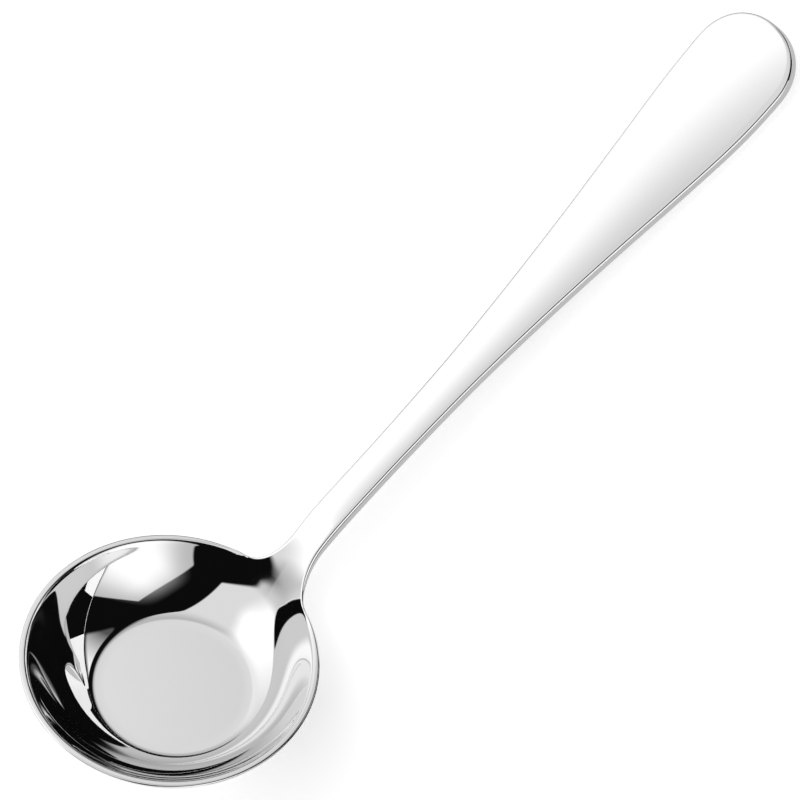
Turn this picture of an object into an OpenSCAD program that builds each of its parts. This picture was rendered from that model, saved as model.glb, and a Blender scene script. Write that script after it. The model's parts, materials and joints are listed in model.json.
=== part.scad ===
// Round soup spoon with a flat-bottomed bowl, lying on a table as it comes to rest.
// The spoon is one piece of stamped and polished stainless steel. It is drawn here as
// three solids that meet face to face: the bowl, the neck and the handle.
// The table is z = 0, the handle points along +X, and the spoon is even about y = 0.

/* [Bowl] */
// Outer diameter of the round rim
bowl_d = 50; // [44:0.5:58]
// Height of the rim over the flat base
bowl_h = 11.6; // [9:0.1:16]
// Diameter of the flat floor inside the bowl
floor_d = 27.8; // [20:0.2:30]
// Distance that the floor's centre sits nearer the handle than the rim's centre
floor_shift = 1.8; // [0:0.1:3]
// Thickness of the floor
floor_t = 1.2; // [0.8:0.1:2]
// Thickness of the bowl's wall
wall_t = 1.2; // [0.8:0.1:2]
// Slope of the wall where it leaves the floor, in degrees
floor_rise = 24; // [8:1:28]
// Radius of the polished edges of the rim
rim_edge_r = 0.3; // [0.1:0.05:0.4]

/* [Neck] */
// Narrowest width of the neck
neck_w = 6; // [4:0.1:9]
// Thickness of the neck
neck_t = 2.6; // [1.8:0.1:3.5]
// Radius of the corner between the rim and the neck, seen from above
neck_fillet_r = 7; // [3:0.5:10]
// Length of the neck, measured along the top from the rim
neck_len = 24; // [18:1:40]
// Slope of the neck where it leaves the rim, in degrees over the rim's plane
root_rise = 57; // [35:1:65]

/* [Handle] */
// Length of the handle, measured along the top from the neck to the end
handle_len = 103; // [80:1:140]
// Width of the handle at its widest
handle_w = 18.8; // [12:0.2:26]
// Length of the rounded end past the widest place
cap_len = 9.3; // [5:0.1:14]
// Thickness of the handle
handle_t = 2.9; // [2:0.1:4]
// Slope of the handle in degrees over the rim's plane
handle_rise = 31; // [15:1:38]
// Slope of the handle at its very end, in degrees over the rim's plane
end_rise = 42; // [28:1:48]
// Length over which the end of the handle lifts
end_lift_len = 42; // [20:1:60]
// Radius of the polished edges of the neck and handle
edge_r = 0.45; // [0.2:0.05:0.7]

/* [Hidden] */

// Colours of polished steel, a little apart so that each solid shows
bowl_colour = "silver";
neck_colour = "gainsboro";
handle_colour = "lightgray";

// Facets round the bowl, along each wall arc and round each small edge
round_steps = 72;
arc_steps = 9;
edge_steps = 3;
// Facets across the crowned top, and rings along the neck, handle and rounded end
crown_steps = 6;
neck_rings = 22;
handle_rings = 26;
cap_rings = 12;

// Power by which the rings' centres shift from the rim down to the floor: 1 is in step
shift_power = 2.2;
// Largest radius of the polished edges, as a share of the half width
edge_limit_share = 0.9;
// Length by which the neck is drawn into the bowl's wall, where it is cut away again
neck_root = 3.4;
// Width at which the corner's arc ends, as a share of where it would touch the rim
root_trim_share = 0.82;
// Crown of the handle's top, as a share of its half width
crown_share = 0.045;
// Fullness of the rounded end: 2 is an ellipse, more is squarer
cap_power = 2.2;
// Half width left at the very end of the cap, as a share of the widest half width
cap_end_share = 0.12;
// Halvings of the search for the angle at which the spoon lies
lean_steps = 30;
// Steps in which the line of the top is measured out
line_steps = 160;
// Reach of the cutting column over the bowl, as a share of the bowl's diameter
column_share = 0.5;

rim_r = bowl_d / 2;
hollow_r = rim_r - wall_t;
floor_r = floor_d / 2;
// Edge of the flat base, where the wall's outside leaves it
base_r = floor_r + (wall_t - floor_t * cos(floor_rise)) / sin(floor_rise);
spoon_len = neck_len + handle_len;

// Point on an arc that leaves p at the given slope and ends at q, at share u of its turn
function arc_turn(p, q, slope) = atan2(q.y - p.y, q.x - p.x) - slope;
function arc_radius(p, q, slope) = norm(q - p) / (2 * sin(arc_turn(p, q, slope)));
function arc_point(p, q, slope, u) =
    let (
        r = arc_radius(p, q, slope),
        a = slope + 2 * arc_turn(p, q, slope) * u
    )
    p + r * [sin(a) - sin(slope), cos(slope) - cos(a)];
function arc(p, q, slope) =
    [for (i = [0 : arc_steps]) arc_point(p, q, slope, i / arc_steps)];

// Quarter round about a centre, from angle a to angle b
function round_edge(centre, r, a, b) =
    [for (i = [1 : edge_steps - 1])
        let (t = a + (b - a) * i / edge_steps)
        centre + r * [cos(t), sin(t)]];

// Half section of the bowl as radius and height, from the floor over the rim to the base
inner_wall = arc([floor_r, floor_t], [hollow_r, bowl_h - rim_edge_r], floor_rise);
outer_wall = arc([base_r, 0], [rim_r, bowl_h - rim_edge_r], floor_rise);
rim_round_in = round_edge([hollow_r + rim_edge_r, bowl_h - rim_edge_r], rim_edge_r, 180, 90);
rim_round_out = round_edge([rim_r - rim_edge_r, bowl_h - rim_edge_r], rim_edge_r, 90, 0);
rim_land = [[hollow_r + rim_edge_r, bowl_h], [rim_r - rim_edge_r, bowl_h]];
outer_down = [for (i = [arc_steps : -1 : 0]) outer_wall[i]];
outer_section = concat(rim_land, rim_round_out, outer_down);
bowl_section = concat(inner_wall, rim_round_in, outer_section);

// Offset of a ring's centre at height z: the floor lies nearer the handle than the rim
function floor_share(z) = max(0, min(1, (bowl_h - z) / (bowl_h - floor_t)));
function centre_x(z) = floor_shift * pow(floor_share(z), shift_power);

// Ring of points round the bowl at one point of its half section
function bowl_ring(p) =
    [for (i = [0 : round_steps - 1])
        let (a = 360 * i / round_steps)
        [centre_x(p.y) + p.x * cos(a), p.x * sin(a), p.y]];

// Slope of the top line in degrees at a distance s from the rim, and of the sections' tops
function fade(u) = pow(max(0, min(1, u)), 2);
function tilt(s) =
    handle_rise + (end_rise - handle_rise) * fade(1 - (spoon_len - s) / end_lift_len);
function rise(s) = tilt(s) + (root_rise - handle_rise) * fade(1 - s / neck_len);

// The top line, measured out in short steps from the hollow's edge to the end
line_step = spoon_len / line_steps;
line_start = [hollow_r - edge_r, bowl_h];
line_points = [
    for (
        i = 0, p = line_start;
        i <= line_steps;
        p = p + line_step * [cos(rise((i + 0.5) * line_step)), sin(rise((i + 0.5) * line_step))],
        i = i + 1
    ) p
];
function line_point(s) =
    let (
        t = s / line_step,
        i = max(0, min(line_steps - 1, floor(t)))
    )
    line_points[i] + (t - i) * (line_points[i + 1] - line_points[i]);

// Corner between rim and neck in plan: an arc that touches the rim and the neck's side
fillet_y = neck_w / 2 + neck_fillet_r;
fillet_x = sqrt(pow(rim_r + neck_fillet_r, 2) - pow(fillet_y, 2));
fillet_start_x = fillet_x * rim_r / (rim_r + neck_fillet_r);
root_half_w = fillet_y * rim_r / (rim_r + neck_fillet_r);
// The corner's arc ends a little short of the rim, so that no sliver is left there
function fillet_arc_y(x) = fillet_y - sqrt(pow(neck_fillet_r, 2) - pow(fillet_x - x, 2));
function fillet_half_w(x) =
    min(
        root_half_w * root_trim_share,
        x >= fillet_x ? neck_w / 2 : fillet_arc_y(max(x, fillet_start_x))
    );

// Half width along the top: neck, an eased widening, and the rounded end
widest_s = spoon_len - cap_len;
widening = handle_w / 2 - neck_w / 2;
// Shares of the way from the neck to the widest place, and of the widening done there
width_at_shares = [0, 0.12, 0.27, 0.43, 0.6, 0.76, 0.9, 1];
width_done_shares = [0, 0.02, 0.09, 0.25, 0.48, 0.74, 0.95, 1];
function share_pair(i) = [width_at_shares[i], width_done_shares[i]];
width_pairs = [for (i = [0 : len(width_at_shares) - 1]) share_pair(i)];
function eased_width(u) = neck_w / 2 + widening * smooth_lookup(u);
function pair_slope(i) =
    let (
        a = max(0, i - 1),
        b = min(len(width_pairs) - 1, i + 1)
    )
    i == 0 || i == len(width_pairs) - 1 ? 0
    : (width_pairs[b].y - width_pairs[a].y) / (width_pairs[b].x - width_pairs[a].x);
function pair_index(u) =
    max([for (i = [0 : len(width_pairs) - 2]) u >= width_pairs[i].x ? i : 0]);
function smooth_lookup(u) =
    let (
        i = pair_index(u),
        p = width_pairs[i],
        q = width_pairs[i + 1],
        h = q.x - p.x,
        t = (u - p.x) / h
    )
    p.y * (1 + 2 * t) * pow(1 - t, 2)
    + q.y * t * t * (3 - 2 * t)
    + h * pair_slope(i) * t * pow(1 - t, 2)
    + h * pair_slope(i + 1) * t * t * (t - 1);
function cap_half_w(v) =
    handle_w / 2 * max(cap_end_share, pow(max(0, 1 - pow(v, cap_power)), 1 / cap_power));
function half_w(s) =
    s <= neck_len ? fillet_half_w(line_point(s).x)
    : s <= widest_s ? eased_width((s - neck_len) / (widest_s - neck_len))
    : cap_half_w((s - widest_s) / cap_len);
function thickness(s) =
    s < 0 ? neck_t + (neck_t - wall_t) * s / neck_root
    : neck_t + (handle_t - neck_t) * max(0, min(1, (s - neck_len) / (widest_s - neck_len)));

// Rounded section of the neck and handle: half width w, thickness t, top at zero
function corner(y, z, r, a) =
    [for (i = [0 : edge_steps])
        let (b = a + 90 * i / edge_steps)
        [y + r * cos(b), z + r * sin(b)]];
function bar_section(w, t) =
    let (
        r = min(edge_r, edge_limit_share * w),
        flat = w - r,
        crown = crown_share * w,
        crest = [for (i = [1 : crown_steps - 1])
            let (k = 1 - 2 * i / crown_steps)
            [flat * k, -crown * k * k]]
    )
    concat(
        corner(flat, -crown - r, r, 0),
        crest,
        corner(-flat, -crown - r, r, 90),
        corner(-flat, r - t, r, 180),
        corner(flat, r - t, r, 270)
    );

// Ring of the bar at distance s, square to the top line
function bar_ring(s) =
    let (
        p = line_point(s),
        a = tilt(s),
        section = bar_section(half_w(s), thickness(s))
    )
    [for (q = section) [p.x - q.y * sin(a), -q.x, p.y + q.y * cos(a)]];

// Even steps from a to b, and steps that crowd towards b as on a rounded end
function even(a, b, n) = [for (i = [0 : n]) a + (b - a) * i / n];
function crowded(a, b, n) = [for (i = [1 : n]) a + (b - a) * sin(90 * i / n)];

neck_places = even(-neck_root, neck_len, neck_rings);
handle_places = concat(
    even(neck_len, widest_s, handle_rings),
    crowded(widest_s, spoon_len, cap_rings)
);

// Closed solid through a stack of rings that all have the same count of points. Looking
// from the last ring back to the first, each ring runs clockwise.
module skin(rings) {
    n = len(rings[0]);
    last = len(rings) - 1;
    sides = [
        for (j = [0 : last - 1])
            for (i = [0 : n - 1])
                let (k = (i + 1) % n)
                for (face = [
                    [j * n + i, j * n + k, (j + 1) * n + i],
                    [j * n + k, (j + 1) * n + k, (j + 1) * n + i]
                ]) face
    ];
    start_cap = [for (i = [n - 1 : -1 : 0]) i];
    end_cap = [for (i = [0 : n - 1]) last * n + i];
    polyhedron([for (ring = rings) for (p = ring) p], concat([start_cap, end_cap], sides));
}

// Lowest points when the spoon leans back by angle a, for the bowl and for the bar
function low(points, a) = min([for (p = points) p.y * cos(a) - p.x * sin(a)]);
bowl_under = [for (p = outer_down) [centre_x(p.y) + p.x, p.y]];
bar_under = [
    for (s = handle_places)
        let (p = line_point(s), a = tilt(s), t = thickness(s))
        [p.x + t * sin(a), p.y - t * cos(a)]
];
function lean_between(a, b, n) =
    n == 0 ? (a + b) / 2
    : low(bar_under, (a + b) / 2) > low(bowl_under, (a + b) / 2)
        ? lean_between((a + b) / 2, b, n - 1)
        : lean_between(a, (a + b) / 2, n - 1);
lean = lean_between(0, root_rise, lean_steps);

// Ends of the lying spoon along X: the rim's far edge and the handle's end
function reach(p) = p.x * cos(lean) + p.z * sin(lean);
front_x = min([for (p = bowl_section) for (q = bowl_ring(p)) reach(q)]);
end_x = max([for (s = handle_places) for (q = bar_ring(s)) reach(q)]);

// Puts a piece drawn on the bowl's flat base down on the table, as the spoon lies, with
// the middle of its length over the origin
module lay_down() {
    translate([-(front_x + end_x) / 2, 0, -low(bowl_under, lean)])
        rotate([0, lean, 0])
            children();
}

module bowl() {
    color(bowl_colour)
        lay_down()
            skin([for (p = bowl_section) bowl_ring(p)]);
}

// Space that the bowl fills, hollow and all, and a column over the hollow
module bowl_space() {
    column_top = [rim_land[0].x, bowl_h + bowl_d * column_share];
    skin([for (p = concat([column_top], outer_section)) bowl_ring(p)]);
}

module neck() {
    color(neck_colour)
        lay_down()
            difference() {
                skin([for (s = neck_places) bar_ring(s)]);
                bowl_space();
            }
}

module handle() {
    color(handle_colour)
        lay_down()
            skin([for (s = handle_places) bar_ring(s)]);
}

bowl();
neck();
handle();
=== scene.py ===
"""Round soup spoon in mirror-polished stainless steel, lying on a pale table as it comes to rest.

The spoon is one skin without seams, made as the real one is: a flat blank of a disc with a
strip is cut and thickened with bmesh operators, and then pressed, each vertex moving to its
place by the same lines as the solid model's. Lengths in the shapes are millimetres in the
bowl's own frame: its flat base lies in z = 0, and the handle points along +X.
"""

import json
import logging
import math
from bisect import bisect_right
from dataclasses import dataclass

import bmesh
import bpy
from mathutils import Matrix, Vector


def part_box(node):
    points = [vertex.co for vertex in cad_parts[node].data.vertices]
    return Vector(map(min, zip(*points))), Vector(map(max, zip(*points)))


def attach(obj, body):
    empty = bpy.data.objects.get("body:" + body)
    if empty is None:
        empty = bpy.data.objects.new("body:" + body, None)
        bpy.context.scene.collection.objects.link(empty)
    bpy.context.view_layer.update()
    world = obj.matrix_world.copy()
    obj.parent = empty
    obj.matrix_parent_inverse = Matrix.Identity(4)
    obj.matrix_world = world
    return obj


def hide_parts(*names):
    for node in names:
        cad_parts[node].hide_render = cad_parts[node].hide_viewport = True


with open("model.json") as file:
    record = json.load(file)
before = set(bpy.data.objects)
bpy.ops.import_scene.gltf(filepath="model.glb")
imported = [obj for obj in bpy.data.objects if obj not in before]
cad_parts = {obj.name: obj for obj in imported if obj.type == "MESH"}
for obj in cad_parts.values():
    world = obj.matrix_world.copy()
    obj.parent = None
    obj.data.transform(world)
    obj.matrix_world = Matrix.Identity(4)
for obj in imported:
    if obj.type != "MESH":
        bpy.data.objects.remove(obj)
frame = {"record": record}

log = logging.getLogger("soup_spoon")

# A millimetre in metres, and how far the skin keeps inside the solids' box, in millimetres.
MM = 0.001
SKIN_GAP = 0.003
BODY = "root"
# How far inside the hollow's edge the neck's line starts, in millimetres.
NECK_INSET = 0.45
WHITE = "#FFFFFF"


def mix(a: float, b: float, share: float) -> float:
    """Value at a share of the way from a to b."""
    return a + (b - a) * share


def ease(share: float) -> float:
    """Share eased at both ends, held between 0 and 1."""
    u = min(1.0, max(0.0, share))
    return u * u * (3 - 2 * u)


def soft_min(a: float, b: float, reach: float) -> float:
    """Lower of two heights, with the corner between them rounded.

    Args:
        a: first height.
        b: second height.
        reach: difference of the heights at which the rounding starts.

    Returns:
        The rounded lower height.
    """
    near = max(reach - abs(a - b), 0.0) / reach
    return min(a, b) - near**3 * reach / 6


def soft_max(a: float, b: float, reach: float) -> float:
    """Higher of two heights, with the corner between them rounded."""
    return -soft_min(-a, -b, reach)


def finished(name: str, bm: bmesh.types.BMesh) -> bpy.types.Object:
    """Turns a finished bmesh into an object at the origin, in the scene.

    Args:
        name: name of the object and of its mesh.
        bm: the bmesh, which is freed.

    Returns:
        The object.
    """
    mesh = bpy.data.meshes.new(name)
    bm.to_mesh(mesh)
    bm.free()
    piece = bpy.data.objects.new(name, mesh)
    bpy.context.scene.collection.objects.link(piece)
    return piece


@dataclass
class BowlFace:
    """One face of the bowl's sheet: a flat, a small fillet, an arc and a steep run-on.

    Heights are given over the distance from the middle, in millimetres.
    """

    flat_z: float
    flat_edge_r: float
    rim_r: float
    rim_z: float
    rise: float
    fillet_r: float
    steepest: float = math.radians(80)

    def __post_init__(self) -> None:
        """Works out the arc of the wall and the fillet that leads into it."""
        run = self.rim_r - self.flat_edge_r
        climb = self.rim_z - self.flat_z
        turn = math.atan2(climb, run) - self.rise
        self.bend_r = math.hypot(run, climb) / (2 * math.sin(turn))
        self.middle_r = self.flat_edge_r - self.bend_r * math.sin(self.rise)
        self.middle_z = self.flat_z + self.bend_r * math.cos(self.rise)
        drop = self.middle_z - self.flat_z - self.fillet_r
        self.flat_r = self.middle_r + math.sqrt((self.bend_r - self.fillet_r) ** 2 - drop**2)
        self.fillet_turn = math.atan2(self.flat_r - self.middle_r, drop)
        self.rim_turn = self.rise + 2 * turn

    def on_fillet(self, turn: float) -> tuple[float, float]:
        """Radius and height on the fillet at a slope."""
        r = self.flat_r + self.fillet_r * math.sin(turn)
        return r, self.flat_z + self.fillet_r * (1 - math.cos(turn))

    def on_wall(self, turn: float) -> tuple[float, float]:
        """Radius and height on the wall's arc at a slope."""
        r = self.middle_r + self.bend_r * math.sin(turn)
        return r, self.middle_z - self.bend_r * math.cos(turn)

    def height(self, r: float) -> float:
        """Height of the face at a distance from its middle.

        Args:
            r: distance from the middle.

        Returns:
            The height, which goes on steeply past the rim.
        """
        if r <= self.flat_r:
            return self.flat_z
        if r <= self.on_fillet(self.fillet_turn)[0]:
            across = r - self.flat_r
            return self.flat_z + self.fillet_r - math.sqrt(self.fillet_r**2 - across**2)
        steep_r, steep_z = self.on_wall(self.steepest)
        if r <= steep_r:
            return self.middle_z - math.sqrt(self.bend_r**2 - (r - self.middle_r) ** 2)
        return steep_z + (r - steep_r) * math.tan(self.steepest)


@dataclass
class HollowSection:
    """Section through the hollow at one angle round it: flat, small fillet and bent wall.

    The wall bends most near the floor and is nearly straight at the rim. Lengths run outwards
    from the rim's axis and up from the base, in millimetres.
    """

    start_r: float
    start_z: float
    end_r: float
    end_z: float
    start_rise: float
    fullness: float
    fillet_r: float
    steps: int = 80
    halvings: int = 30

    def __post_init__(self) -> None:
        """Finds the slope at the rim that joins both ends, and lays the fillet in."""
        run, climb = self.end_r - self.start_r, self.end_z - self.start_z
        low, high = self.start_rise, math.pi / 2
        for _ in range(self.halvings):
            self.end_rise = (low + high) / 2
            self.measure()
            if self.zs[-1] * run < climb * self.rs[-1]:
                low = self.end_rise
            else:
                high = self.end_rise
        scale = climb / self.zs[-1]
        self.rs = [self.start_r + r * scale for r in self.rs]
        self.zs = [self.start_z + z * scale for z in self.zs]
        touch = 0
        while self.zs[touch] - self.start_z < self.fillet_rise(touch):
            touch += 1
        gaps = [self.fillet_rise(i) - self.zs[i] + self.start_z for i in (touch - 1, touch)]
        self.touch = (touch - 1 + gaps[0] / (gaps[0] - gaps[1])) / self.steps
        self.fillet_turn = self.turn(self.touch)
        self.flat_r = self.at(self.touch)[0] - self.fillet_r * math.sin(self.fillet_turn)

    def turn(self, share: float) -> float:
        """Slope of the wall at a share of its length."""
        bent = 1 - (1 - share) ** self.fullness
        return mix(self.start_rise, self.end_rise, bent)

    def fillet_rise(self, step: int) -> float:
        """Height at which a fillet would touch the wall if it touched at a step."""
        return self.fillet_r * (1 - math.cos(self.turn(step / self.steps)))

    def measure(self) -> None:
        """Measures the wall out in short steps, for a length of 1."""
        self.rs, self.zs = [0.0], [0.0]
        for i in range(self.steps):
            turn = self.turn((i + 0.5) / self.steps)
            self.rs.append(self.rs[-1] + math.cos(turn) / self.steps)
            self.zs.append(self.zs[-1] + math.sin(turn) / self.steps)

    def at(self, share: float) -> tuple[float, float]:
        """Place on the wall at a share of its length.

        Args:
            share: share of the wall's length, from the floor.

        Returns:
            The radius and the height.
        """
        i = min(self.steps - 1, int(share * self.steps))
        part = share * self.steps - i
        return mix(self.rs[i], self.rs[i + 1], part), mix(self.zs[i], self.zs[i + 1], part)

    def on_fillet(self, turn: float) -> tuple[float, float]:
        """Radius and height on the fillet at a slope."""
        r = self.flat_r + self.fillet_r * math.sin(turn)
        return r, self.start_z + self.fillet_r * (1 - math.cos(turn))

    def share_at(self, r: float) -> float:
        """Share of the wall's length at a distance from the axis."""
        i = min(self.steps - 1, max(0, bisect_right(self.rs, r) - 1))
        return (i + (r - self.rs[i]) / (self.rs[i + 1] - self.rs[i])) / self.steps

    def on_wall(self, share: float, last_r: float) -> tuple[float, float]:
        """Radius and height at a share of the way along the wall from the fillet to last_r."""
        return self.at(mix(self.touch, self.share_at(last_r), share))

    def height(self, r: float) -> float:
        """Height of the wall, run on straight past the rim.

        Args:
            r: distance from the axis.

        Returns:
            The height over the base.
        """
        if r >= self.end_r:
            return self.end_z + (r - self.end_r) * math.tan(self.end_rise)
        return self.at(self.share_at(r))[1]


@dataclass
class BowlForm:
    """Sizes of the bowl, its hollow and the outside that its skin is pressed to."""

    rim_d: float
    height: float = 11.6
    floor_d: float = 27.8
    floor_shift: float = 1.8
    shift_power: float = 2.2
    floor_t: float = 1.2
    wall_t: float = 1.2
    floor_rise: float = math.radians(24)
    rise_spread: float = math.radians(3.7)
    fullness: float = 1.5
    neck_fullness: float = 1.1
    neck_flare: float = 1.3
    flare_power: float = 8.0
    fillet_r: float = 3.0
    outer_fillet_r: float = 3.2
    outer_rise_more: float = math.radians(1.5)
    edge_r: float = 0.3
    lip_run: float = 0.5
    outer_wall_share: float = 0.93
    floor_rings: int = 8
    fillet_rings: int = 6
    wall_rings: int = 40
    lip_rings: int = 13

    def __post_init__(self) -> None:
        """Works out the rim's radii and makes the outer face."""
        self.rim_r = self.rim_d / 2
        self.land_r = self.rim_r - self.edge_r
        self.hollow_r = self.rim_r - self.wall_t
        floor_r = self.floor_d / 2
        spread = (self.wall_t - self.floor_t * math.cos(self.floor_rise)) / math.sin(self.floor_rise)
        lip_z = self.height - self.edge_r
        outer_rise = self.floor_rise + self.outer_rise_more
        self.outer = BowlFace(
            0.0, floor_r + spread, self.rim_r, lip_z, outer_rise, self.outer_fillet_r
        )
        self.outer_rings = self.list_outer_rings()
        self.sections: dict[float, HollowSection] = {}

    def middle_x(self, z: float) -> float:
        """Place along X of the middle of the outside's ring at a height."""
        up = (self.height - z) / (self.height - self.floor_t)
        return self.floor_shift * min(1.0, max(0.0, up)) ** self.shift_power

    def section(self, angle: float) -> HollowSection:
        """Section of the hollow at an angle round the rim's axis.

        Args:
            angle: angle from the handle.

        Returns:
            The section, steeper near the floor and less steep at the rim towards the neck.
        """
        if angle not in self.sections:
            toward = math.cos(angle)
            across = self.floor_shift * math.sin(angle)
            start_r = self.floor_shift * toward + math.sqrt((self.floor_d / 2) ** 2 - across**2)
            near_neck = max(0.0, toward)
            flare = self.neck_flare * near_neck**self.flare_power
            self.sections[angle] = HollowSection(
                start_r, self.floor_t, self.hollow_r + flare, self.height,
                self.floor_rise + self.rise_spread * toward,
                self.fullness + self.neck_fullness * near_neck**2, self.fillet_r,
            )
        return self.sections[angle]

    def hollow_point(self, ring: int, angle: float) -> tuple[float, float, float]:
        """Place of the hollow's skin before the rim is rounded.

        Args:
            ring: number of the ring, from the middle of the floor outwards.
            angle: angle round the rim's axis from the handle.

        Returns:
            The place along X and Y and the height.
        """
        section = self.section(angle)
        if ring < self.floor_rings:
            share = (ring + 1) / self.floor_rings
            x = mix(self.floor_shift, section.flat_r * math.cos(angle), share)
            return x, section.flat_r * math.sin(angle) * share, self.floor_t
        ring -= self.floor_rings
        lip_r = self.hollow_r - self.lip_run
        if ring < self.fillet_rings:
            r, z = section.on_fillet(section.fillet_turn * (ring + 1) / self.fillet_rings)
        elif ring < self.fillet_rings + self.wall_rings:
            share = (ring - self.fillet_rings + 1) / self.wall_rings
            r, z = section.on_wall(share, lip_r)
        else:
            share = (ring - self.fillet_rings - self.wall_rings + 1) / self.lip_rings
            r = mix(lip_r, self.land_r, share)
            z = section.height(r)
        return r * math.cos(angle), r * math.sin(angle), z

    def list_outer_rings(self) -> list[tuple[float, float]]:
        """Rings on the outside, from the middle outwards.

        Returns:
            The radius and height of each ring, with the first one a little way out.
        """
        face = self.outer
        rings = [
            (face.flat_r * (i + 1) / self.floor_rings, face.flat_z) for i in range(self.floor_rings)
        ]
        for i in range(self.fillet_rings):
            rings.append(face.on_fillet(face.fillet_turn * (i + 1) / self.fillet_rings))
        lip_turn = mix(face.fillet_turn, face.rim_turn, self.outer_wall_share)
        for i in range(self.wall_rings):
            share = (i + 1) / self.wall_rings
            rings.append(face.on_wall(mix(face.fillet_turn, lip_turn, share)))
        lip_start = rings[-1][0]
        for i in range(self.lip_rings):
            r = mix(lip_start, self.rim_r, (i + 1) / self.lip_rings)
            rings.append((r, face.height(r)))
        return rings


@dataclass
class TopLine:
    """Line along the middle of the top of the neck and handle, and their thickness."""

    start_x: float
    start_z: float
    neck_len: float = 24.0
    handle_len: float = 103.0
    neck_t: float = 2.6
    handle_t: float = 2.9
    thick_at: float = 117.7
    root_rise: float = math.radians(57)
    handle_rise: float = math.radians(31)
    end_rise: float = math.radians(42)
    end_lift_len: float = 42.0
    step: float = 0.25

    def __post_init__(self) -> None:
        """Measures the line out in short steps."""
        self.length = self.neck_len + self.handle_len
        self.reaches = [0.0]
        self.xs = [self.start_x]
        self.zs = [self.start_z]
        while self.reaches[-1] < self.length:
            middle = self.rise(self.reaches[-1] + self.step / 2)
            self.reaches.append(self.reaches[-1] + self.step)
            self.xs.append(self.xs[-1] + self.step * math.cos(middle))
            self.zs.append(self.zs[-1] + self.step * math.sin(middle))
        sunk = [self.sunk_point(s) for s in self.reaches]
        self.under_xs = [p[0] for p in sunk]
        self.under_zs = [p[1] for p in sunk]

    def tilt(self, s: float) -> float:
        """Slope of the sections' tops at a distance along the line, in radians."""
        lift = min(1.0, max(0.0, 1 - (self.length - s) / self.end_lift_len))
        return mix(self.handle_rise, self.end_rise, lift**2)

    def rise(self, s: float) -> float:
        """Slope of the line at a distance along it, in radians."""
        left = min(1.0, max(0.0, 1 - s / self.neck_len))
        return self.tilt(s) + (self.root_rise - self.handle_rise) * left**2

    def thickness(self, s: float) -> float:
        """Thickness of the bar at a distance along the line."""
        share = (s - self.neck_len) / (self.thick_at - self.neck_len)
        return mix(self.neck_t, self.handle_t, min(1.0, max(0.0, share)))

    def at(self, s: float) -> tuple[float, float]:
        """Place of the line at a distance along it.

        Args:
            s: distance along the line.

        Returns:
            The places along X and up.
        """
        i = min(len(self.xs) - 2, max(0, int(s / self.step)))
        share = s / self.step - i
        return mix(self.xs[i], self.xs[i + 1], share), mix(self.zs[i], self.zs[i + 1], share)

    def sunk_point(self, s: float) -> tuple[float, float]:
        """Place of the underside, square below the line.

        Args:
            s: distance along the line.

        Returns:
            The places along X and up.
        """
        x, z = self.at(s)
        t = self.thickness(s)
        return x + t * math.sin(self.tilt(s)), z - t * math.cos(self.tilt(s))

    def lookup(self, x: float, xs: list[float], values: list[float], slope: float) -> float:
        """Value at x in a table, run on in a straight line before its start.

        Args:
            x: place along X.
            xs: places of the table, rising.
            values: value at each place.
            slope: slope of the run-on before the first place.

        Returns:
            The value between its neighbours.
        """
        if x <= xs[0]:
            return values[0] + (x - xs[0]) * slope
        i = min(len(xs) - 2, bisect_right(xs, x) - 1)
        return mix(values[i], values[i + 1], (x - xs[i]) / (xs[i + 1] - xs[i]))

    def height(self, x: float) -> float:
        """Height of the line over a place along X."""
        return self.lookup(x, self.xs, self.zs, math.tan(self.root_rise))

    def under_height(self, x: float) -> float:
        """Height of the underside over a place along X."""
        return self.lookup(x, self.under_xs, self.under_zs, math.tan(self.root_rise))

    def reach(self, x: float) -> float:
        """Distance along the line to a place along X."""
        return self.lookup(x, self.xs, self.reaches, 1 / math.cos(self.root_rise))


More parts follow.
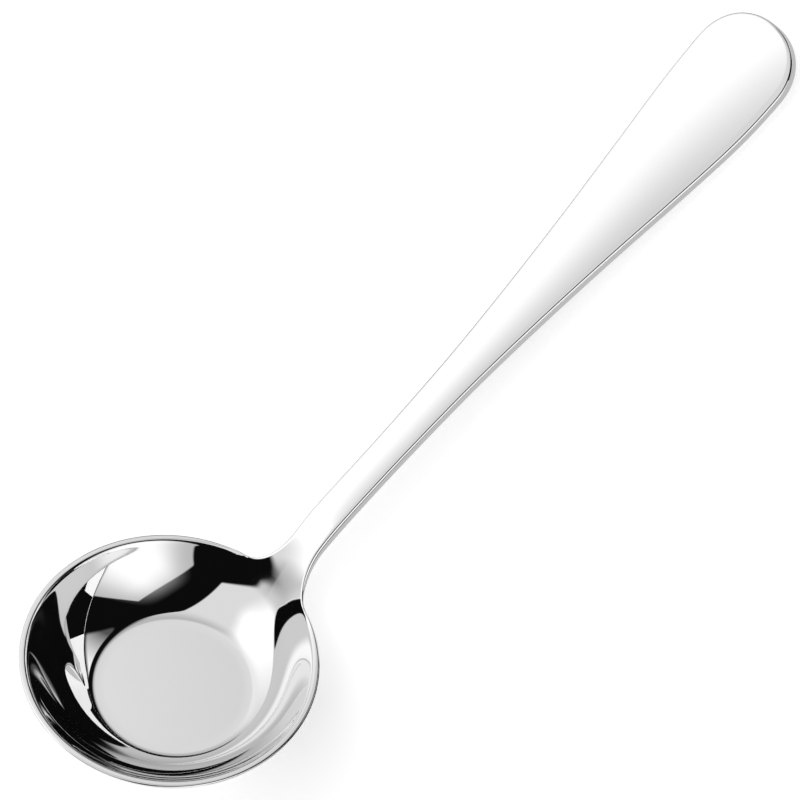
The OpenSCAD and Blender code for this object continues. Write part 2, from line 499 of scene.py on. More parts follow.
@dataclass
class Outline:
    """Half width of the top's face along the neck and handle, inside the rounded edge."""

    line: TopLine
    land_r: float
    neck_w: float = 6.0
    neck_fillet_r: float = 7.0
    handle_w: float = 18.8
    cap_len: float = 9.3
    cap_power: float = 2.2
    edge_r: float = 0.6
    rim_edge_r: float = 0.3
    first_gap: float = 0.35
    widest_gap: float = 0.8
    gap_growth: float = 1.04
    past_fillet: float = 1.0
    body_gap: float = 1.1
    cap_rows: int = 26
    width_at_shares: tuple[float, ...] = (0, 0.12, 0.27, 0.43, 0.6, 0.76, 0.9, 1)
    width_done_shares: tuple[float, ...] = (0, 0.02, 0.09, 0.25, 0.48, 0.74, 0.95, 1)

    def __post_init__(self) -> None:
        """Places the arc between the rim and the neck's side."""
        self.fillet_y = self.neck_w / 2 + self.neck_fillet_r
        gap = self.land_r + self.rim_edge_r + self.neck_fillet_r
        self.fillet_x = math.sqrt(gap**2 - self.fillet_y**2)
        self.root_turn = math.asin(self.fillet_y / gap)
        self.root_x = self.land_r * math.cos(self.root_turn)
        self.widest_s = self.line.length - self.cap_len
        self.cap_reach = self.cap_len - self.edge_r

    def rounding(self, x: float) -> float:
        """Radius of the polished edge at a place along X, small at the rim."""
        share = (x - self.root_x) / (self.fillet_x - self.root_x)
        return mix(self.rim_edge_r, self.edge_r, ease(share))

    def slope(self, i: int) -> float:
        """Slope of the widening's curve at one of the chosen pairs.

        Args:
            i: number of the pair.

        Returns:
            The slope, which is 0 at both ends.
        """
        at, done = self.width_at_shares, self.width_done_shares
        if i in (0, len(at) - 1):
            return 0.0
        return (done[i + 1] - done[i - 1]) / (at[i + 1] - at[i - 1])

    def widening(self, share: float) -> float:
        """Share of the widening done at a share of the way along the handle.

        Args:
            share: share of the way from the neck to the widest place.

        Returns:
            The share of the widening, on a smooth curve through the chosen pairs.
        """
        at, done = self.width_at_shares, self.width_done_shares
        i = min(len(at) - 2, max(0, bisect_right(at, share) - 1))
        h = at[i + 1] - at[i]
        t = (share - at[i]) / h
        start = done[i] * (1 + 2 * t) * (1 - t) ** 2 + h * self.slope(i) * t * (1 - t) ** 2
        return start + done[i + 1] * t * t * (3 - 2 * t) + h * self.slope(i + 1) * t * t * (t - 1)

    def half_width(self, x: float) -> float:
        """Half width of the top's face at a place along X.

        Args:
            x: place along X, from the rim to the end of the handle.

        Returns:
            The half width inside the rounded edge.
        """
        r = self.rounding(x)
        if x < self.fillet_x:
            return self.fillet_y - math.sqrt((self.neck_fillet_r + r) ** 2 - (self.fillet_x - x) ** 2)
        s = self.line.reach(x)
        if s <= self.line.neck_len:
            return self.neck_w / 2 - r
        if s <= self.widest_s:
            share = (s - self.line.neck_len) / (self.widest_s - self.line.neck_len)
            return mix(self.neck_w, self.handle_w, self.widening(share)) / 2 - r
        u = min(1.0, (s - self.widest_s) / self.cap_reach)
        return (self.handle_w / 2 - r) * (1 - u**self.cap_power) ** (1 / self.cap_power)

    def rows(self) -> list[float]:
        """Places of the rows of the strip, after the rim, to the very end.

        Returns:
            Their places along X.
        """
        xs = []
        x, gap = self.root_x, self.first_gap
        while x < self.fillet_x + self.past_fillet:
            x += gap
            gap = min(self.widest_gap, gap * self.gap_growth)
            xs.append(x)
        s = self.line.reach(x)
        body = int((self.widest_s - s) / self.body_gap)
        for i in range(body):
            xs.append(self.line.at(mix(s, self.widest_s, (i + 1) / body))[0])
        for i in range(self.cap_rows):
            reach = self.cap_reach * math.sin(math.pi / 2 * (i + 1) / self.cap_rows)
            xs.append(self.line.at(self.widest_s + reach)[0])
        return xs


@dataclass
class SpoonSkin:
    """The whole spoon as one closed skin: bowl, neck and handle."""

    bowl: BowlForm
    line: TopLine
    outline: Outline
    place: Matrix
    columns: int = 198
    root_columns: int = 10
    band_steps: int = 10
    crown_share: float = 0.045
    crest_reach: float = 4.0
    lip_reach: float = 0.8
    lip_fade: float = 1.25
    root_bend: float = 2.5
    under_blend: float = 2.0
    under_floor: float = 7.5
    web_start: float = 3.5
    web_lift: float = 0.3
    web_from: float = 1.0
    turn_len: float = 7.0
    round_steps: int = 4
    least_drop: float = 1e-6
    merge_gap: float = 2e-6
    sliver: float = 1e-7

    def __post_init__(self) -> None:
        """Lists the rings of the disc and the rows of the strip."""
        self.rows = self.outline.rows()
        self.last_ring = len(self.bowl.outer_rings) - 1
        self.last_row = self.last_ring + len(self.rows)

    def angle(self, column: int) -> float:
        """Angle round the bowl of a column of the blank, with the neck's root on whole columns.

        Args:
            column: number of the column, 0 at the handle and signed by its side.

        Returns:
            The angle from the handle.
        """
        side = math.copysign(1.0, column)
        k = abs(column)
        root = self.outline.root_turn
        if k <= self.root_columns:
            return side * root * k / self.root_columns
        rest = self.columns / 2 - self.root_columns
        return side * mix(root, math.pi, (k - self.root_columns) / rest)

    def crown(self, x: float, y: float) -> float:
        """Depth by which the crowned top lies under its middle line.

        Args:
            x: place along X.
            y: place along Y.

        Returns:
            The depth.
        """
        fade = ease((x - self.bowl.rim_r) / self.turn_len)
        if fade == 0:
            return 0.0
        s = max(self.line.reach(x), self.line.neck_len)
        w = self.outline.half_width(self.line.at(min(s, self.outline.widest_s))[0])
        return fade * self.crown_share * y * y / w

    def top_height(self, x: float, y: float, wall: float) -> float:
        """Height of the top where the bowl's hollow, the rim and the neck run together.

        Args:
            x: place along X.
            y: place along Y.
            wall: height of the bowl's inner face there.

        Returns:
            The height of the skin.
        """
        rim = self.bowl.height
        over = rim
        if x > self.outline.root_x - 2 * self.root_bend:
            over = soft_max(rim, self.line.height(x), self.root_bend) - self.crown(x, y)
        near = ease(self.lip_fade - abs(math.atan2(y, x)) / self.outline.root_turn)
        return soft_min(wall, over, mix(self.lip_reach, self.crest_reach, near))

    def under_height(self, x: float, y: float, wall: float) -> float:
        """Height of the underside where the bowl's outside and the neck run together.

        Args:
            x: place along X.
            y: place along Y.
            wall: height of the bowl's outer face there.

        Returns:
            The height of the skin.
        """
        if x < self.outline.root_x - 2 * self.root_bend:
            return wall
        near = 1 - ease((x - self.bowl.rim_r - self.web_from) / self.turn_len)
        web = self.web_lift * max(0.0, abs(y) - self.web_start) ** 2 * near
        bar = soft_max(self.line.under_height(x), self.under_floor, self.under_blend) + web
        if near == 0:
            return self.line.under_height(x)
        return soft_min(wall, bar, self.under_blend)

    def ring_point(self, ring: int, column: int, top: bool) -> Vector:
        """Point of the pressed disc.

        Args:
            ring: number of the ring, from the middle outwards.
            column: number of the column, from the handle round.
            top: whether the point is on the top or the underside.

        Returns:
            The point in the bowl's frame.
        """
        a = self.angle(column)
        if top:
            x, y, z = self.bowl.hollow_point(ring, a)
            return Vector((x, y, self.top_height(x, y, z)))
        r, z = self.bowl.outer_rings[ring]
        x = self.bowl.middle_x(z) + r * math.cos(a)
        y = r * math.sin(a)
        return Vector((x, y, self.under_height(x, y, z)))

    def row_bulge(self, x: float, column: int, r: float) -> float:
        """Distance by which a row bows towards the end, as the rim's ring does at the root."""
        left = 1 - ease((x - self.outline.root_x) / (self.outline.fillet_x - self.outline.root_x))
        return left * r * (math.cos(self.angle(column)) - math.cos(self.outline.root_turn))

    def row_side(self, column: int) -> float:
        """Place across a row as a share of its half width."""
        return math.sin(self.angle(column)) / math.sin(self.outline.root_turn)

    def turned(self, x: float) -> float:
        """Share to which the bar's sections have turned from the rim's to the handle's."""
        return ease((x - self.outline.root_x) / self.turn_len)

    def row_point(self, row: int, column: int, top: bool) -> Vector:
        """Point of the pressed strip.

        Args:
            row: number of the row in the strip, from the rim to the end.
            column: number of the column.
            top: whether the point is on the top or the underside.

        Returns:
            The point in the bowl's frame.
        """
        x0 = self.rows[row]
        w = self.outline.half_width(x0)
        side = self.row_side(column)
        if top:
            x = x0 + self.row_bulge(x0, column, self.bowl.land_r)
            y = w * side
            section = self.bowl.section(math.atan2(y, x))
            return Vector((x, y, self.top_height(x, y, section.height(math.hypot(x, y)))))
        s = self.line.reach(x0)
        start = 1 - self.turned(x0)
        shift = self.line.thickness(s) * math.sin(self.line.tilt(s)) * (1 - start)
        flare = self.bowl.edge_r * start
        x = x0 + shift + flare + self.row_bulge(x0, column, self.bowl.rim_r)
        y = (w + flare * self.outline.fillet_y / self.outline.fillet_x) * side
        return Vector((x, y, self.under_height(x, y, self.bowl.outer.height(math.hypot(x, y)))))

    def sheet_point(self, row: int, column: int, top: bool) -> Vector:
        """Point of the disc or the strip.

        Args:
            row: row of the point in the whole blank.
            column: column of the point.
            top: whether the point is on the top or the underside.

        Returns:
            The point in the bowl's frame.
        """
        if row <= self.last_ring:
            return self.ring_point(row, column, top)
        return self.row_point(row - self.last_ring - 1, column, top)

    def edge_frame(self, row: int, column: int) -> tuple[Vector, Vector]:
        """Directions in which the rounded edge is drawn at a place on the outline.

        Args:
            row: row of the place in the whole blank.
            column: column of the place.

        Returns:
            The direction outwards and the direction up through the sheet.
        """
        side = math.copysign(1.0, column)
        if row <= self.last_ring:
            a = self.angle(column)
            return Vector((math.cos(a), math.sin(a), 0)), Vector((0, 0, 1))
        x = self.rows[row - self.last_ring - 1]
        tilt = self.line.tilt(self.line.reach(x)) * self.turned(x)
        up = Vector((-math.sin(tilt), 0, math.cos(tilt)))
        edge = int(side) * self.root_columns
        if row == self.last_row:
            return Vector((math.cos(tilt), 0, math.sin(tilt))), up
        before = self.sheet_point(row - 1, edge, True)
        after = self.sheet_point(row + 1, edge, True)
        along = (after - before).normalized()
        out = along.cross(up) * -side
        return out.normalized(), up

    def edge_point(self, row: int, column: int, step: int) -> Vector:
        """Point on the rounded edge between the top and the underside.

        Args:
            row: row of the place in the whole blank.
            column: column of the place.
            step: step down the edge, from 0 on top to the last on the underside.

        Returns:
            The point in the bowl's frame.
        """
        top = self.sheet_point(row, column, True)
        under = self.sheet_point(row, column, False)
        out, up = self.edge_frame(row, column)
        fall = under - top
        drop = -fall.dot(up)
        reach = fall.dot(out)
        slide = fall - out * reach + up * drop
        r = self.bowl.edge_r
        if row > self.last_ring:
            r = self.outline.rounding(self.rows[row - self.last_ring - 1])
        low_r = max(0.0, min(r, drop - r))
        if step <= self.round_steps:
            a = math.pi / 2 * step / self.round_steps
            o, d = r * math.sin(a), r * (1 - math.cos(a))
        elif step < self.band_steps - self.round_steps:
            o, d = r, mix(r, drop - low_r, 0.5)
        else:
            a = math.pi / 2 * (step - self.band_steps + self.round_steps) / self.round_steps
            o, d = mix(reach, r, math.cos(a)), drop - low_r * (1 - math.sin(a))
        return top + out * o - up * d + slide * (d / max(drop, self.least_drop))

    def blank(self) -> bmesh.types.BMesh:
        """Flat blank of a disc and a strip, thickened, with its rows and columns numbered.

        Returns:
            The mesh, with layers row, column and level, where level is 1 on top and 0 below.
        """
        bm = bmesh.new()
        row = bm.verts.layers.float.new("row")
        column = bm.verts.layers.float.new("column")
        level = bm.verts.layers.float.new("level")
        spoke = [bm.verts.new((i + 1.0, 0, 0)) for i in range(self.last_ring + 1)]
        spokes = [bm.edges.new(pair) for pair in zip(spoke, spoke[1:])]
        bmesh.ops.spin(
            bm, geom=spoke + spokes, cent=(0, 0, 0), axis=(0, 0, 1), dvec=(0, 0, 0),
            angle=math.tau, steps=self.columns, use_merge=True, use_duplicate=False,
        )
        inmost = [e for e in bm.edges if e.is_boundary and round(e.verts[0].co.length) == 1]
        bmesh.ops.holes_fill(bm, edges=inmost, sides=0)
        middle = max(bm.faces, key=lambda f: len(f.verts))
        hub = bmesh.ops.poke(bm, faces=[middle])["verts"]
        for v in bm.verts:
            v[row] = round(v.co.length) - 1
            v[column] = round(math.atan2(v.co.y, v.co.x) * self.columns / math.tau)
            v[level] = 1
        for v in hub:
            v[row] = -1
        self.grow_strip(bm, row, column)
        self.thicken(bm, level)
        return bm

    def grow_strip(
        self,
        bm: bmesh.types.BMesh,
        row: bmesh.types.BMLayerItem,
        column: bmesh.types.BMLayerItem,
    ) -> None:
        """Extrudes the blank's edge at the root, row by row, into the strip.

        Args:
            bm: the blank.
            row: layer of the rows.
            column: layer of the columns.
        """
        front = [
            e for e in bm.edges
            if e.is_boundary and all(abs(v[column]) <= self.root_columns for v in e.verts)
        ]
        for number in range(self.last_ring + 1, self.last_row + 1):
            grown = bmesh.ops.extrude_edge_only(bm, edges=front)["geom"]
            front = [g for g in grown if isinstance(g, bmesh.types.BMEdge)]
            for v in {v for e in front for v in e.verts}:
                v[row] = number
                v.co.x += 1

    def thicken(self, bm: bmesh.types.BMesh, level: bmesh.types.BMLayerItem) -> None:
        """Doubles the sheet and cuts its edge into the steps of the rounded band.

        Args:
            bm: the blank.
            level: layer that is 1 on top and 0 below.
        """
        sheet = list(bm.faces)
        made = bmesh.ops.extrude_face_region(bm, geom=sheet, use_keep_orig=True)["geom"]
        for v in made:
            if isinstance(v, bmesh.types.BMVert):
                v[level] = 0
        upright = [e for e in bm.edges if abs(e.verts[0][level] - e.verts[1][level]) > 0.5]
        bmesh.ops.subdivide_edges(bm, edges=upright, cuts=self.band_steps - 1, use_grid_fill=True)

    def press(self, bm: bmesh.types.BMesh) -> None:
        """Moves every vertex of the blank to its place on the spoon, in the bowl's frame.

        Args:
            bm: the blank, with its rows, columns and levels numbered.
        """
        row = bm.verts.layers.float["row"]
        column = bm.verts.layers.float["column"]
        level = bm.verts.layers.float["level"]
        for v in bm.verts:
            r, c = round(v[row]), round(v[column])
            step = round((1 - v[level]) * self.band_steps)
            if r < 0:
                v.co = (self.bowl.floor_shift, 0, self.bowl.floor_t if step == 0 else 0)
            elif step in (0, self.band_steps):
                v.co = self.sheet_point(r, c, step == 0)
            else:
                v.co = self.edge_point(r, c, step)

    def build(self) -> bpy.types.Object:
        """Makes the skin.

        Returns:
            The object, at the origin, with its mesh in metres in the part's frame.
        """
        bm = self.blank()
        self.press(bm)
        bmesh.ops.transform(bm, matrix=self.place, verts=bm.verts)
        bmesh.ops.remove_doubles(bm, verts=bm.verts, dist=self.merge_gap)
        bmesh.ops.dissolve_degenerate(bm, edges=bm.edges, dist=self.sliver)
        bmesh.ops.recalc_face_normals(bm, faces=bm.faces)
        for name in ("row", "column", "level"):
            bm.verts.layers.float.remove(bm.verts.layers.float[name])
        skin = finished("spoon_skin", bm)
        skin.data.shade_smooth()
        return skin


def hex_colour(code: str) -> tuple[float, float, float, float]:
    """Linear colour with full alpha from an sRGB colour.

    Args:
        code: hex code such as #DDE1E4.

    Returns:
        The red, green, blue and alpha.
    """
    shades = [int(code[i : i + 2], 16) / 255 for i in (1, 3, 5)]
    linear = [s / 12.92 if s <= 0.04045 else ((s + 0.055) / 1.055) ** 2.4 for s in shades]
    return (*linear, 1.0)


def add_node(
    tree: bpy.types.NodeTree,
    kind: str,
    settings: dict[str, object] | None = None,
    inputs: dict[str | int, object] | None = None,
) -> bpy.types.Node:
    """Adds a node with its settings and links.

    Args:
        tree: the tree that takes the node.
        kind: the node's type.
        settings: values of the node's own properties.
        inputs: for each input, by name or number, a value or the socket that feeds it.

    Returns:
        The node.
    """
    node = tree.nodes.new(kind)
    for name, value in (settings or {}).items():
        setattr(node, name, value)
    for name, value in (inputs or {}).items():
        if isinstance(value, bpy.types.NodeSocket):
            tree.links.new(value, node.inputs[name])
        else:
            node.inputs[name].default_value = value
    return node


def bare_material(name: str) -> tuple[bpy.types.Material, bpy.types.NodeTree]:
    """Makes a material that has no nodes yet.

    Args:
        name: name of the material.

    Returns:
        The material and its node tree.
    """
    material = bpy.data.materials.new(name)
    material.use_nodes = True
    material.node_tree.nodes.clear()
    return material, material.node_tree


@dataclass(frozen=True)
class MirrorSteel:
    """18/10 stainless steel, stamped and then polished with a soft wheel to a mirror.

    The eye gets a bright, neutral grey mirror, with reflections that are crisp and only a trace
    softer in patches. The wheel's own marks are too fine to show, so the haze is drawn as patches
    6 mm wide, and the last unevenness of the polish as a swell of about a micron, 5 mm wide.
    """

    colour: str = "#EDEDED"
    roughness: float = 0.015
    haze: float = 0.02
    haze_grain_mm: float = 6.0
    haze_detail: float = 4.0
    haze_from: float = 0.45
    haze_full: float = 0.75
    wave_mm: float = 5.0
    wave_detail: float = 1.0
    wave_depth_mm: float = 0.0012

    def make(self) -> bpy.types.Material:
        """Makes the steel.

        Returns:
            The material.
        """
        material, tree = bare_material("mirror_polished_stainless_steel")
        place = add_node(tree, "ShaderNodeTexCoord").outputs["Object"]
        grain = add_node(
            tree, "ShaderNodeTexNoise",
            inputs={
                "Vector": place, "Scale": 1 / (self.haze_grain_mm * MM), "Detail": self.haze_detail,
            },
        )
        rough = add_node(
            tree, "ShaderNodeMapRange",
            inputs={
                "Value": grain.outputs["Fac"],
                "From Min": self.haze_from, "From Max": self.haze_full,
                "To Min": self.roughness, "To Max": self.roughness + self.haze,
            },
        )
        swell = add_node(
            tree, "ShaderNodeTexNoise",
            inputs={"Vector": place, "Scale": 1 / (self.wave_mm * MM), "Detail": self.wave_detail},
        )
        bump = add_node(
            tree, "ShaderNodeBump",
            inputs={
                "Height": swell.outputs["Fac"], "Distance": self.wave_depth_mm * MM, "Strength": 1.0,
            },
        )
        steel = add_node(
            tree, "ShaderNodeBsdfPrincipled",
            inputs={
                "Base Color": hex_colour(self.colour), "Metallic": 1.0,
                "Roughness": rough.outputs["Result"], "Normal": bump.outputs["Normal"],
            },
        )
        add_node(tree, "ShaderNodeOutputMaterial", inputs={"Surface": steel.outputs["BSDF"]})
        return material


@dataclass(frozen=True)
class TableTop:
    """Matt white laminate: an even, pale ground that keeps the spoon's soft shadow.

    A glow lifts it to white for the camera, and mirrored_glow lifts it less in reflections.
    """

    colour: str = "#F4F4F4"
    glow: float = 0.6
    mirrored_glow: float = 0.42

    def make(self) -> bpy.types.Material:
        """Makes the laminate.

        Returns:
            The material.
        """
        material, tree = bare_material("matt_white_laminate")
        path = add_node(tree, "ShaderNodeLightPath").outputs
        mirrored = add_node(
            tree, "ShaderNodeMath", {"operation": "MAXIMUM"},
            {0: path["Is Glossy Ray"], 1: path["Is Transmission Ray"]},
        )
        mirrored = add_node(
            tree, "ShaderNodeMath", {"operation": "MULTIPLY"},
            {0: mirrored.outputs[0], 1: self.mirrored_glow},
        )
        glow = add_node(
            tree, "ShaderNodeMath", {"operation": "MULTIPLY_ADD"},
            {0: path["Is Camera Ray"], 1: self.glow, 2: mirrored.outputs[0]},
        )
        matt = add_node(
            tree, "ShaderNodeBsdfDiffuse", inputs={"Color": hex_colour(self.colour), "Roughness": 1.0}
        )
        light = add_node(
            tree, "ShaderNodeEmission",
            inputs={"Color": hex_colour(WHITE), "Strength": glow.outputs[0]},
        )
        both = add_node(
            tree, "ShaderNodeAddShader", inputs={0: matt.outputs["BSDF"], 1: light.outputs["Emission"]}
        )
        add_node(tree, "ShaderNodeOutputMaterial", inputs={"Surface": both.outputs["Shader"]})
        return material


@dataclass(frozen=True)
class Fade:
    """Change of a softbox's light across its face, between two lines of sight."""

    start: tuple[float, float]
    start_share: float
    stop: tuple[float, float]
    stop_share: float


@dataclass(frozen=True)
class SoftPanel:
    """A softbox far off, given by the lines of sight from the spoon to its corners.

    Each corner is where its line of sight crosses a level one unit above the spoon, as distances
    along X and Y, so a large number is near the horizon. Each edge has its own softness, from
    the first corner on.
    """

    name: str
    corners: tuple[tuple[float, float], ...]
    level: float
    softness: tuple[float, ...]
    fade: Fade | None = None


@dataclass(frozen=True)
class TableCard:
    """A black or grey card lying on the table, seen only in reflections.

    Each corner is a bearing in degrees and a distance in mm from over or under a spot on the
    bowl, given in the bowl's frame in mm. Lift is its height over the table in metres, and level
    is its light, which is almost none for black felt. The grey card under the handle is painted
    shade: its glow stands for the table's shaded ground there, as the handle's side mirrors it.
    """

    name: str
    spot: tuple[float, float, float]
    corners: tuple[tuple[float, float], ...]
    lift: float = 0.0003
    level: float = 0.004


@dataclass
class Studio:
    """Camera, table, cards and surrounding softboxes.

    The camera's turn, rise and roll are degrees and its aim is in millimetres, in the bowl's
    frame. Its distance, the near clip and the table's size are metres.
    """

    place: Matrix
    camera_turn: float = -51.54
    camera_rise: float = 51.89
    camera_roll: float = 10.46
    camera_distance: float = 0.6
    lens: float = 155.04
    aim_mm: tuple[float, float, float] = (62.1, 11.23, 20.0)
    near_clip: float = 0.01
    table_size: float = 4.0
    dark: float = 0.004
    panels: tuple[SoftPanel, ...] = (
        SoftPanel(
            "overhead", ((-0.81, -0.37), (0.92, -0.37), (8, 4.3), (8, 20), (-3.0, 20), (-1.07, 0.42)),
            0.83, (0.012, 0.1, 0.03, 0.03, 0.05, 0.012), Fade((0, -0.1), 1.0, (1.0, 0.2), 0.66),
        ),
        SoftPanel(
            "lamp", ((-0.6, 0.2), (1.9, 0.68), (5.6, 20), (-6, 20), (-1.3, 1.0)),
            0.5, (0.13, 0.15, 0.1, 0.1, 0.15), Fade((0, 0.8), 1.0, (3, 20), 0.5),
        ),
        SoftPanel("wing", ((-1.16, 0.5), (-3.4, 20), (-8, 20), (-4, 0.6)), 0.64, (0.08, 0.03, 0.03, 0.02)),
        SoftPanel("side", ((0.6, -1.3), (110, -205), (-185, -200), (-0.96, -1.05)), 0.58, (0.012,) * 4),
        SoftPanel(
            "side_lamp", ((0.34, -1.27), (53, -199), (-115, -199), (-0.73, -1.27)),
            0.62, (0.26, 0.03, 0.18, 0.25),
        ),
        SoftPanel("rear", ((-1.9, 1.1), (-1.9, -1.1), (-190, -110), (-190, 110)), 0.6, (0.03,) * 4),
        SoftPanel(
            "end", ((2.0, -1.1), (30, -1.4), (30, -19), (2.0, -1.27)), 1.0, (0.03,) * 4,
            Fade((2.5, -1.27), 0.1, (28.0, -3.9), 1.2),
        ),
    )
    cards: tuple[TableCard, ...] = (
        TableCard(
            "near_card", (-5, 19, 6),
            ((-33, 55), (-56, 44), (-110, 44), (-110, 107), (-60.5, 107), (-33, 107)),
        ),
        TableCard("far_card", (-5, 19, 6), ((-33, 100), (-60.5, 100), (-60.5, 1500), (-33, 1500))),
        TableCard(
            "back_card", (-19, 5, 3),
            ((3, 215), (10, 150), (11, 84), (60, 84), (60, 1500), (3, 1500)),
        ),
        # Painted shade: a grey sheet glowing at 0.58, seen only in reflections, stands for the table's
        # shaded ground under the handle.
        TableCard(
            "handle_shade_card", (0, 0, 0), ((-40, 24), (-10, 165), (2, 165), (5, 24)),
            lift=0.0004, level=0.58,
        ),
    )

    def sight(self, spot: tuple[float, float]) -> Vector:
        """Direction of a line of sight from where it crosses the level one unit up."""
        return Vector((spot[0], spot[1], 1.0)).normalized()

    def camera(self) -> bpy.types.Object:
        """Makes the camera at the photograph's angle and sets it as the scene's.

        Returns:
            The camera.
        """
        data = bpy.data.cameras.new("camera")
        data.lens = self.lens
        data.clip_start = self.near_clip
        camera = bpy.data.objects.new("camera", data)
        bpy.context.scene.collection.objects.link(camera)
        a, e = math.radians(self.camera_turn), math.radians(self.camera_rise)
        back = Vector((math.sin(a) * math.cos(e), -math.cos(a) * math.cos(e), math.sin(e)))
        level = Vector((math.cos(a), math.sin(a), 0))
        roll = Matrix.Rotation(math.radians(self.camera_roll), 3, back)
        turned = self.place.to_3x3().normalized()
        right, back = turned @ roll @ level, turned @ back
        axes = Matrix((right, back.cross(right), back)).transposed().to_4x4()
        spot = self.place @ Vector(self.aim_mm) + back * self.camera_distance
        camera.matrix_world = Matrix.Translation(spot) @ axes
        bpy.context.scene.camera = camera
        return camera

    def table(self) -> bpy.types.Object:
        """Makes the table top.

        Returns:
            The table top.
        """
        bm = bmesh.new()
        bmesh.ops.create_grid(bm, x_segments=1, y_segments=1, size=self.table_size / 2)
        table = finished("table_top", bm)
        table.data.materials.append(TableTop().make())
        return table

    def card(self, card: TableCard) -> bpy.types.Object:
        """Makes one card.

        Args:
            card: its place, outline and light.

        Returns:
            The card.
        """
        middle = self.place @ Vector(card.spot)
        bm = bmesh.new()
        corners = []
        for bearing, reach in card.corners:
            a = math.radians(bearing)
            spot = Vector((math.cos(a), math.sin(a), 0)) * reach * MM
            corners.append(bm.verts.new((middle.x + spot.x, middle.y + spot.y, card.lift)))
        bmesh.ops.contextual_create(bm, geom=corners)
        bmesh.ops.recalc_face_normals(bm, faces=bm.faces)
        piece = finished(card.name, bm)
        material, tree = bare_material("card_glow_" + card.name)
        # Each card glows at its level; the grey handle card's glow is painted shade of the table under the
        # handle.
        card_glow = add_node(tree, "ShaderNodeEmission", inputs={"Strength": card.level})
        add_node(tree, "ShaderNodeOutputMaterial", inputs={"Surface": card_glow.outputs["Emission"]})
        piece.data.materials.append(material)
        piece.visible_camera = False
        piece.visible_diffuse = False
        piece.visible_shadow = False
        return piece

    def panel_light(
        self, tree: bpy.types.NodeTree, look: bpy.types.NodeSocket, panel: SoftPanel
    ) -> bpy.types.NodeSocket:
        """Adds the nodes of one panel.

        Args:
            tree: the world's node tree.
            look: direction that is looked along.
            panel: the panel.

        Returns:
            The socket with its light, which is its level inside and 0 outside.
        """
        ends = [self.sight(corner) for corner in panel.corners]
        middle = sum(ends, Vector())
        light = None
        for start, stop, softness in zip(ends, ends[1:] + ends[:1], panel.softness):
            side = start.cross(stop).normalized()
            if side.dot(middle) < 0:
                side.negate()
            dot = add_node(
                tree, "ShaderNodeVectorMath", {"operation": "DOT_PRODUCT"}, {0: look, 1: side}
            )
            inside = add_node(
                tree, "ShaderNodeMapRange", {"interpolation_type": "SMOOTHSTEP"},
                {
                    "Value": dot.outputs["Value"], "From Min": -softness,
                    "From Max": softness, "To Min": 0.0, "To Max": 1.0,
                },
            ).outputs["Result"]
            if light is None:
                light = inside
            else:
                light = add_node(
                    tree, "ShaderNodeMath", {"operation": "MULTIPLY"}, {0: light, 1: inside}
                ).outputs[0]
        strength = panel.level
        if panel.fade:
            start, stop = self.sight(panel.fade.start), self.sight(panel.fade.stop)
            way = stop - start
            dot = add_node(
                tree, "ShaderNodeVectorMath", {"operation": "DOT_PRODUCT"}, {0: look, 1: way}
            )
            strength = add_node(
                tree, "ShaderNodeMapRange",
                inputs={
                    "Value": dot.outputs["Value"],
                    "From Min": start.dot(way), "From Max": stop.dot(way),
                    "To Min": panel.level * panel.fade.start_share,
                    "To Max": panel.level * panel.fade.stop_share,
                },
            ).outputs["Result"]
        return add_node(
            tree, "ShaderNodeMath", {"operation": "MULTIPLY"}, {0: light, 1: strength}
        ).outputs[0]

    def sky(self) -> None:
        """Makes the world: softboxes with dark gaps between, and white to the camera alone."""
        world = bpy.data.worlds.new("studio")
        bpy.context.scene.world = world
        world.use_nodes = True
        tree = world.node_tree
        tree.nodes.clear()
        look = add_node(tree, "ShaderNodeTexCoord").outputs["Generated"]
        total = None
        for panel in self.panels:
            light = self.panel_light(tree, look, panel)
            if total is None:
                total = light
            else:
                total = add_node(
                    tree, "ShaderNodeMath", {"operation": "ADD"}, {0: total, 1: light}
                ).outputs[0]
        total = add_node(
            tree, "ShaderNodeMath", {"operation": "MAXIMUM"}, {0: total, 1: self.dark}
        ).outputs[0]
        seen = add_node(tree, "ShaderNodeLightPath").outputs["Is Camera Ray"]
        total = add_node(
            tree, "ShaderNodeMath", {"operation": "MAXIMUM"}, {0: total, 1: seen}
        ).outputs[0]
        back = add_node(
            tree, "ShaderNodeBackground", inputs={"Color": hex_colour(WHITE), "Strength": total}
        )
        add_node(tree, "ShaderNodeOutputWorld", inputs={"Surface": back.outputs["Background"]})

    def build(self) -> None:
        """Makes the camera, the table, the cards and the sky."""
        self.camera()
        self.table()
        for card in self.cards:
            self.card(card)
        self.sky()
        bpy.context.scene.view_settings.view_transform = "Standard"


def bowl_place(record: dict, floor_shift: float) -> Matrix:
    """Matrix from the bowl's frame in millimetres to the part's frame in metres.

    Args:
        record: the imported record, whose base mount lies under the middle of the floor.
        floor_shift: distance along X from the rim's axis to the middle of the floor.

    Returns:
        The matrix.
    """
    base = next(m for m in record["mounts"] if m["name"] == "base")
    down = Vector(base["axis"])
    lean = math.atan2(-down.x, -down.z)
    turn = Matrix.Rotation(lean, 4, "Y")
    shift = Matrix.Translation((-floor_shift * MM, 0, 0))
    spot = Vector(base["pos_m"]) + Vector((0, 0, SKIN_GAP * MM))
    return Matrix.Translation(spot) @ turn @ shift @ Matrix.Scale(MM, 4)


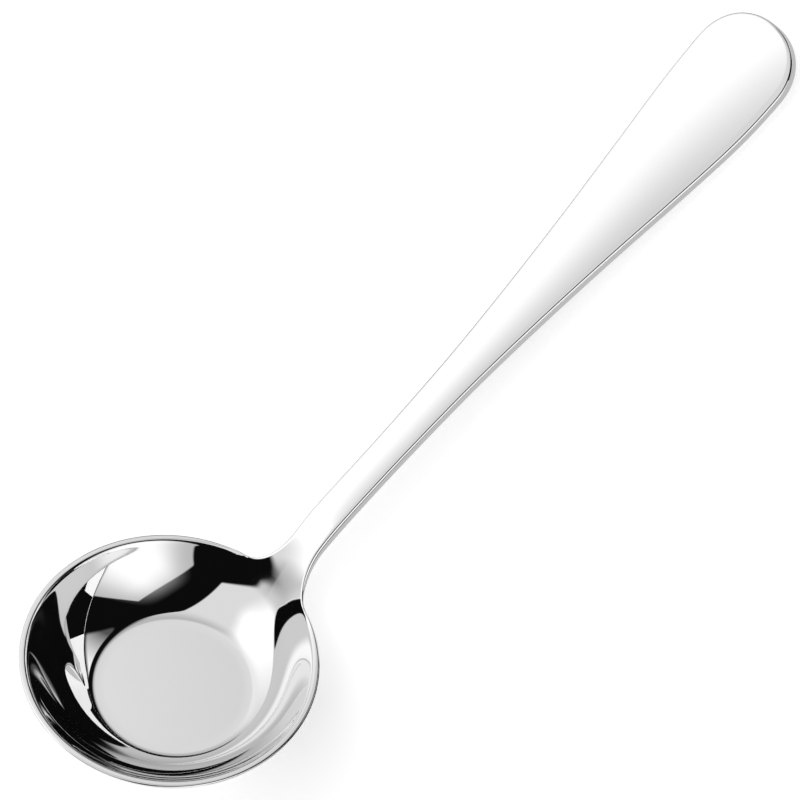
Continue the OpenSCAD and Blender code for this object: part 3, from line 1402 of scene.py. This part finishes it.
def main() -> None:
    """Builds the spoon and the studio in order."""
    logging.basicConfig(level=logging.INFO, format="%(name)s: %(message)s")
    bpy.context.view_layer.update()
    low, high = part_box("bowl")
    bowl = BowlForm(rim_d=(high.y - low.y) / MM - 2 * SKIN_GAP)
    line = TopLine(start_x=bowl.hollow_r - NECK_INSET, start_z=bowl.height)
    outline = Outline(line=line, land_r=bowl.land_r, rim_edge_r=bowl.edge_r)
    place = bowl_place(frame["record"], bowl.floor_shift)
    skin = SpoonSkin(bowl, line, outline, place).build()
    skin.data.materials.append(MirrorSteel().make())
    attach(skin, BODY)
    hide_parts("bowl", "neck", "handle")
    log.info("%s: %d faces, rides on %s", skin.name, len(skin.data.polygons), BODY)
    Studio(place).build()
    log.info("studio: camera, table, %d cards, %d softboxes", len(Studio.cards), len(Studio.panels))


if __name__ == "__main__":
    main()
